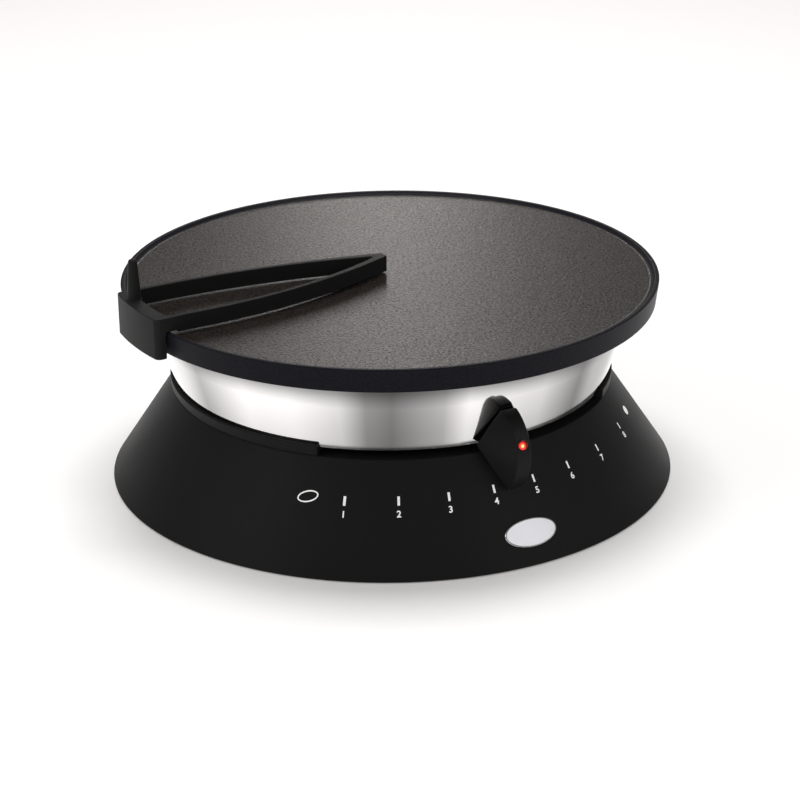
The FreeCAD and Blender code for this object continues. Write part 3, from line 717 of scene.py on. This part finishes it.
def make_scale():
    bm = bmesh.new()
    last = len(MARK_AZIMUTHS) - 1
    for count, azimuth in enumerate(MARK_AZIMUTHS):
        height, length, width, below = (along(ends, count / last) for ends in
                                        (TICK_HEIGHTS, TICK_LENGTHS, TICK_WIDTHS, DIGIT_HEIGHTS))
        add_tick(bm, azimuth, height, length, width)
        add_digit(bm, str(count + 1), azimuth, below)
    add_ring_mark(bm)
    add_dot(bm)
    bmesh.ops.recalc_face_normals(bm, faces=bm.faces[:])
    piece("scale_marks", bm, [scale_print()], "base", "badge_white")


# The blank oval badge: a face that rises to its middle, in a thin metal edge that follows the cone
def badge_azimuth(across, height):
    return BADGE_AZIMUTH + math.degrees(across / skirt_radius(height))


def make_badge():
    bm = bmesh.new()
    bmesh.ops.create_circle(bm, cap_ends=True, radius=1.0, segments=BADGE_SEGMENTS)
    bmesh.ops.poke(bm, faces=bm.faces[:])
    for vert in bm.verts:
        away = min(1.0, math.hypot(vert.co.x, vert.co.y))
        lift = BADGE_THICKNESS + BADGE_DOME * (1 - away ** 2)
        height = BADGE_HEIGHT + vert.co.y * BADGE_HALF_HEIGHT * math.sin(SLOPE_ANGLE)
        azimuth = badge_azimuth(vert.co.x * BADGE_HALF_WIDTH, height)
        vert.co = cone_place(azimuth, height, lift).translation
    border = [edge for edge in bm.edges if edge.is_boundary]
    for vert in verts_among(bmesh.ops.extrude_edge_only(bm, edges=border)["geom"]):
        inward = Vector((vert.co.x, vert.co.y, 0)).normalized() * math.sin(SLOPE_ANGLE)
        vert.co -= (inward + Vector((0, 0, math.cos(SLOPE_ANGLE)))) * BADGE_THICKNESS
    bmesh.ops.recalc_face_normals(bm, faces=bm.faces[:])
    piece("badge_face", bm, [finish_of("badge_white")], "base", "badge_white", "name_badge")


def make_badge_edge():
    bm = bmesh.new()
    path = []
    for step in range(BADGE_SEGMENTS):
        angle = FULL_TURN * step / BADGE_SEGMENTS
        height = BADGE_HEIGHT + math.sin(angle) * EDGE_HALF_HEIGHT * math.sin(SLOPE_ANGLE)
        place = cone_place(badge_azimuth(math.cos(angle) * EDGE_HALF_WIDTH, height), height, EDGE_LIFT)
        circle = bmesh.ops.create_circle(bm, cap_ends=False, radius=EDGE_RADIUS, segments=EDGE_SEGMENTS)
        verts = circle["verts"]
        forward = Vector((-math.sin(angle) * EDGE_HALF_WIDTH, math.cos(angle) * EDGE_HALF_HEIGHT, 0))
        forward.normalize()
        side = Vector((forward.y, -forward.x, 0))
        local = Matrix((side, Vector((0, 0, 1)), forward)).transposed().to_4x4()
        bmesh.ops.transform(bm, matrix=place @ local, verts=verts)
        path.append(list({edge for vert in verts for edge in vert.link_edges}))
    for near, far in zip(path, path[1:] + path[:1]):
        bmesh.ops.bridge_loops(bm, edges=near + far)
    bmesh.ops.recalc_face_normals(bm, faces=bm.faces[:])
    piece("badge_edge", bm, [badge_edge()], "base", "badge_white")


# The lever's grip: a wedge with a rounded nose
def arc_points(first, middle, last, count):
    """Points on the arc through three points of the (radius, height) plane."""
    ax, ay = first
    bx, by = middle
    cx, cy = last
    twice = 2 * (ax * (by - cy) + bx * (cy - ay) + cx * (ay - by))
    first_square = ax ** 2 + ay ** 2
    middle_square = bx ** 2 + by ** 2
    last_square = cx ** 2 + cy ** 2
    ux = (first_square * (by - cy) + middle_square * (cy - ay) + last_square * (ay - by)) / twice
    uy = (first_square * (cx - bx) + middle_square * (ax - cx) + last_square * (bx - ax)) / twice
    radius = math.hypot(ax - ux, ay - uy)
    start = math.atan2(ay - uy, ax - ux)
    end = math.atan2(cy - uy, cx - ux)
    angles = [start + (end - start) * step / count for step in range(count + 1)]
    return [(ux + radius * math.cos(angle), uy + radius * math.sin(angle)) for angle in angles]


def grip_outline():
    bottom = GRIP_LOW[2]
    top = GRIP_HIGH[2]
    low_end = (skirt_radius(bottom) + GRIP_GAP, bottom)
    top_end = (ring_radius(top) + GRIP_REACH, top)
    nose = arc_points(top_end, (GRIP_NOSE, GRIP_NOSE_HEIGHT), low_end, NOSE_STEPS)
    low_start = bottom + GRIP_HEEL
    shoulder = top - GRIP_SHOULDER
    return nose + [
        (skirt_radius(low_start) + GRIP_GAP, low_start), (GRIP_INNER, SKIRT_TOP),
        (GRIP_INNER, COLLAR_TOP + GRIP_SHOULDER), (ring_radius(shoulder) + GRIP_GAP, shoulder),
    ]


def make_grip():
    bm = bmesh.new()
    for side in (0.0, GRIP_BAND / 2):
        for radius, height in grip_outline():
            bm.verts.new(front(radius, height, side))
    tip_radius = math.sqrt((GRIP_INNER - WING_INSET) ** 2 - GRIP_WING ** 2)
    bm.verts.new(front(tip_radius, GRIP_WING_HEIGHT, GRIP_WING))
    bmesh.ops.convex_hull(bm, input=bm.verts[:])
    middle = [face for face in bm.faces if all(abs(vert.co.x) < GRIP_MERGE for vert in face.verts)]
    bmesh.ops.delete(bm, geom=middle, context="FACES_ONLY")
    bmesh.ops.mirror(bm, geom=bm.verts[:] + bm.edges[:] + bm.faces[:], axis="X",
                     merge_dist=GRIP_MERGE)
    loose = [vert for vert in bm.verts if not vert.link_faces]
    bmesh.ops.delete(bm, geom=loose, context="VERTS")
    bmesh.ops.remove_doubles(bm, verts=bm.verts[:], dist=GRIP_MERGE)
    bmesh.ops.dissolve_limit(bm, angle_limit=GRIP_FLATNESS, verts=bm.verts[:], edges=bm.edges[:])
    bmesh.ops.recalc_face_normals(bm, faces=bm.faces[:])
    bm = rounded(bm, GRIP_ROUNDING, angle=22.0)
    bmesh.ops.rotate(bm, verts=bm.verts[:], cent=(0, 0, 0), matrix=turn(LEVER_AZIMUTH).to_3x3())
    piece("lever_grip_shape", bm, [finish_of("lever_plastic")], "lever", "lever_plastic", "lever_grip")


# The spreader and its peg
def spreader_piece(node, bm):
    piece(node + "_shape", bm, [finish_of("spreader_plastic")], "spreader", "spreader_plastic", node)


def make_spreader():
    spreader_piece("spreader_frame", softened_copy("spreader_frame", SPREADER_ROUNDING))


def make_peg():
    middle = Vector(((PEG_LOW[0] + PEG_HIGH[0]) / 2, (PEG_LOW[1] + PEG_HIGH[1]) / 2, PEG_LOW[2]))
    foot = (PEG_HIGH[0] - PEG_LOW[0]) / 2
    height = PEG_HIGH[2] - PEG_LOW[2]
    outline = [(0.0, 0.0)]
    outline += [(foot + out, up) for out, up in PEG_FLARE]
    outline += [(radius, height - below) for radius, below in PEG_END]
    outline += [(0.0, height)]
    bm = turned_shape(outline, PEG_STEPS, closed=False)
    bmesh.ops.translate(bm, verts=bm.verts[:], vec=middle)
    spreader_piece("spreader_peg", bm)


# Smaller fittings: the construction's own shapes with their edges rounded
def make_fittings():
    for node, body, width in FITTINGS:
        slot = SLOTS[node]
        piece(node + "_shape", softened_copy(node, width), [finish_of(slot)], body, slot, node)


# Construction nodes that stay in view or inside keep their shape and get a finish
def finish_nodes():
    for name, node in frame["nodes"].items():
        finish = finish_of(SLOTS[name])
        if not node.material_slots:
            node.data.materials.append(finish)
        for holder in node.material_slots:
            holder.material = finish


# Stage
def make_floor():
    bm = bmesh.new()
    bmesh.ops.create_grid(bm, x_segments=2, y_segments=2, size=FLOOR_HALF)
    mesh = bpy.data.meshes.new("floor")
    bm.to_mesh(mesh)
    bm.free()
    floor = bpy.data.objects.new("floor", mesh)
    bpy.context.scene.collection.objects.link(floor)
    finish, tree, bsdf = shader("floor")
    bsdf.inputs["Base Color"].default_value = (0.93, 0.92, 0.915, 1.0)
    bsdf.inputs["Roughness"].default_value = 0.7
    bsdf.inputs["Specular IOR Level"].default_value = 0.2
    bsdf.inputs["Emission Color"].default_value = (1.0, 0.99, 0.985, 1.0)
    paths = tree.nodes.new("ShaderNodeLightPath")
    glow = tree.nodes.new("ShaderNodeMapRange")
    glow.inputs["To Min"].default_value = look().floor_glow
    glow.inputs["To Max"].default_value = look().mirrored_glow
    tree.links.new(paths.outputs["Is Glossy Ray"], glow.inputs["Value"])
    tree.links.new(glow.outputs["Result"], bsdf.inputs["Emission Strength"])
    mesh.materials.append(finish)


def world_light():
    world = bpy.data.worlds.new("studio")
    bpy.context.scene.world = world
    world.use_nodes = True
    tree = world.node_tree
    background = tree.nodes["Background"]
    background.inputs["Color"].default_value = (*look().sky_colour, 1)
    paths = tree.nodes.new("ShaderNodeLightPath")
    seen = tree.nodes.new("ShaderNodeMath")
    seen.operation = "MAXIMUM"
    tree.links.new(paths.outputs["Is Camera Ray"], seen.inputs[0])
    tree.links.new(paths.outputs["Is Transmission Ray"], seen.inputs[1])
    strength = tree.nodes.new("ShaderNodeMapRange")
    strength.inputs["To Min"].default_value = look().sky_strength
    strength.inputs["To Max"].default_value = 1.0
    tree.links.new(seen.outputs["Value"], strength.inputs["Value"])
    tree.links.new(strength.outputs["Result"], background.inputs["Strength"])


def area_light(name, place, target, size, power, colour):
    lamp = bpy.data.lights.new(name, "AREA")
    lamp.shape = "RECTANGLE"
    lamp.size, lamp.size_y = size
    lamp.energy = power
    lamp.color = colour
    holder = bpy.data.objects.new(name, lamp)
    holder.location = place
    holder.rotation_euler = (Vector(target) - Vector(place)).to_track_quat("-Z", "Y").to_euler()
    bpy.context.scene.collection.objects.link(holder)


def make_lights():
    for light in LIGHTS:
        area_light(*light)


def make_camera():
    camera = bpy.data.cameras.new("photo_camera")
    camera.lens = CAMERA_LENS
    camera.sensor_width = CAMERA_SENSOR
    holder = bpy.data.objects.new("photo_camera", camera)
    turn_round = Matrix.Rotation(-CAMERA_YAW, 4, "Z")
    tilt = Matrix.Rotation(math.pi / 2 - CAMERA_PITCH, 4, "X")
    roll = Matrix.Rotation(CAMERA_ROLL, 4, "Z")
    place = Matrix.Translation((0, -CAMERA_DISTANCE, CAMERA_HEIGHT))
    holder.matrix_world = place @ turn_round @ tilt @ roll
    bpy.context.scene.collection.objects.link(holder)
    bpy.context.scene.camera = holder


# What a user can change
class CrepeMakerLook(bpy.types.PropertyGroup):
    coating_colour: bpy.props.FloatVectorProperty(
        name="Coating", description="Colour of the cooking surface", subtype="COLOR",
        default=(0.0135, 0.0108, 0.0092))
    rim_colour: bpy.props.FloatVectorProperty(
        name="Rim", description="Colour of the plate's rim", subtype="COLOR", default=(0.008, 0.008, 0.011))
    steel_colour: bpy.props.FloatVectorProperty(
        name="Steel", description="Colour of the steel ring", subtype="COLOR", default=(1.0, 1.0, 1.0))
    skirt_colour: bpy.props.FloatVectorProperty(
        name="Base", description="Colour of the conical base", subtype="COLOR",
        default=(0.0128, 0.0128, 0.0128))
    lever_colour: bpy.props.FloatVectorProperty(
        name="Lever", description="Colour of the lever's grip", subtype="COLOR",
        default=(0.013, 0.013, 0.013))
    spreader_colour: bpy.props.FloatVectorProperty(
        name="Spreader", description="Colour of the batter spreader", subtype="COLOR",
        default=(0.0155, 0.016, 0.016))
    badge_colour: bpy.props.FloatVectorProperty(
        name="Badge", description="Colour of the blank badge", subtype="COLOR", default=(0.93, 0.93, 0.98))
    print_colour: bpy.props.FloatVectorProperty(
        name="Print", description="Colour of the scale's marks", subtype="COLOR", default=(1.0, 1.0, 1.0))
    sky_colour: bpy.props.FloatVectorProperty(
        name="Sky", description="Colour of the surroundings' light", subtype="COLOR",
        default=(1.0, 0.975, 0.965))
    sky_strength: bpy.props.FloatProperty(
        name="Sky strength", description="Light that the surroundings give", default=0.34, min=0.0)
    print_glow: bpy.props.FloatProperty(
        name="Print glow", description="Light added to the scale's white print", default=0.15, min=0.0)
    mirrored_glow: bpy.props.FloatProperty(
        name="Mirrored glow", description="Light that reflections see on the floor", default=0.4, min=0.0)
    floor_glow: bpy.props.FloatProperty(
        name="Floor glow", description="Light that the white floor gives by itself", default=0.1, min=0.0)
    plastic_ior: bpy.props.FloatProperty(
        name="Plastic IOR", description="Index of refraction of the black mouldings", default=1.13,
        min=1.0, max=2.0)


class CrepeMakerSizes(bpy.types.PropertyGroup):
    round_steps: bpy.props.IntProperty(
        name="Round steps", description="Facets round each turned piece", default=256, min=24)
    coating_grain: bpy.props.FloatProperty(
        name="Coating grain", description="Grains of the coating in a metre", default=650.0)
    digit_size: bpy.props.FloatProperty(
        name="Digit size", description="Size of the scale's numbers", default=5.4 * MM, subtype="DISTANCE",
        unit="LENGTH")
    digit_stroke: bpy.props.FloatProperty(
        name="Digit stroke", description="Extra thickness of the numbers", default=0.12 * MM,
        subtype="DISTANCE", unit="LENGTH")
    lamp_strength: bpy.props.FloatProperty(
        name="Lamp strength", description="Glow of the indicator", default=2.6, min=0.0)


# One operator for each piece or group of pieces
class CREPE_OT_plate(bpy.types.Operator):
    """Model the cooking plate with its rim"""
    bl_idname = "crepe.plate"
    bl_label = "Cooking plate"

    def execute(self, context):
        make_plate()
        return {"FINISHED"}


class CREPE_OT_ring(bpy.types.Operator):
    """Model the flared steel ring"""
    bl_idname = "crepe.ring"
    bl_label = "Steel ring"

    def execute(self, context):
        make_ring()
        return {"FINISHED"}


class CREPE_OT_base(bpy.types.Operator):
    """Model the conical base and the waist collar"""
    bl_idname = "crepe.base"
    bl_label = "Base and collar"

    def execute(self, context):
        make_skirt()
        make_collar()
        return {"FINISHED"}


class CREPE_OT_scale(bpy.types.Operator):
    """Print the lever's scale on the base"""
    bl_idname = "crepe.scale"
    bl_label = "Scale marks"

    def execute(self, context):
        make_scale()
        return {"FINISHED"}


class CREPE_OT_badge(bpy.types.Operator):
    """Model the blank oval badge"""
    bl_idname = "crepe.badge"
    bl_label = "Blank badge"

    def execute(self, context):
        make_badge()
        make_badge_edge()
        return {"FINISHED"}


class CREPE_OT_lever(bpy.types.Operator):
    """Model the lever's grip"""
    bl_idname = "crepe.lever"
    bl_label = "Lever grip"

    def execute(self, context):
        make_grip()
        return {"FINISHED"}


class CREPE_OT_spreader(bpy.types.Operator):
    """Model the batter spreader and its peg"""
    bl_idname = "crepe.spreader"
    bl_label = "Batter spreader"

    def execute(self, context):
        make_spreader()
        make_peg()
        return {"FINISHED"}


class CREPE_OT_fittings(bpy.types.Operator):
    """Round the edges of the smaller fittings"""
    bl_idname = "crepe.fittings"
    bl_label = "Fittings"

    def execute(self, context):
        make_fittings()
        return {"FINISHED"}


class CREPE_OT_finishes(bpy.types.Operator):
    """Give every construction node its finish"""
    bl_idname = "crepe.finishes"
    bl_label = "Finishes"

    def execute(self, context):
        finish_nodes()
        return {"FINISHED"}


class CREPE_OT_stage(bpy.types.Operator):
    """Set up the floor, the lights and the camera"""
    bl_idname = "crepe.stage"
    bl_label = "Stage"

    def execute(self, context):
        make_floor()
        world_light()
        make_lights()
        make_camera()
        return {"FINISHED"}


OPERATORS = (CREPE_OT_stage, CREPE_OT_plate, CREPE_OT_ring, CREPE_OT_base, CREPE_OT_scale, CREPE_OT_badge,
             CREPE_OT_lever, CREPE_OT_spreader, CREPE_OT_fittings, CREPE_OT_finishes)


class CREPE_PT_panel(bpy.types.Panel):
    """Lists the pieces of the crepe maker"""
    bl_idname = "CREPE_PT_panel"
    bl_label = "Crepe Maker"
    bl_space_type = "VIEW_3D"
    bl_region_type = "UI"
    bl_category = "Crepe Maker"

    def draw(self, context):
        for group in (context.scene.crepe_maker_look, context.scene.crepe_maker_sizes):
            for name in group.bl_rna.properties.keys():
                if name not in ("rna_type", "name"):
                    self.layout.prop(group, name)
        for operator in OPERATORS:
            self.layout.operator(operator.bl_idname)


CLASSES = (CrepeMakerLook, CrepeMakerSizes) + OPERATORS + (CREPE_PT_panel,)


def register():
    for item in CLASSES:
        bpy.utils.register_class(item)
    bpy.types.Scene.crepe_maker_look = bpy.props.PointerProperty(type=CrepeMakerLook)
    bpy.types.Scene.crepe_maker_sizes = bpy.props.PointerProperty(type=CrepeMakerSizes)


def unregister():
    del bpy.types.Scene.crepe_maker_sizes
    del bpy.types.Scene.crepe_maker_look
    for item in reversed(CLASSES):
        bpy.utils.unregister_class(item)


def main():
    register()
    bpy.context.scene.view_settings.view_transform = "Standard"
    bpy.ops.crepe.stage()
    bpy.ops.crepe.plate()
    bpy.ops.crepe.ring()
    bpy.ops.crepe.base()
    bpy.ops.crepe.scale()
    bpy.ops.crepe.badge()
    bpy.ops.crepe.lever()
    bpy.ops.crepe.spreader()
    bpy.ops.crepe.fittings()
    bpy.ops.crepe.finishes()


if __name__ == "__main__":
    main()
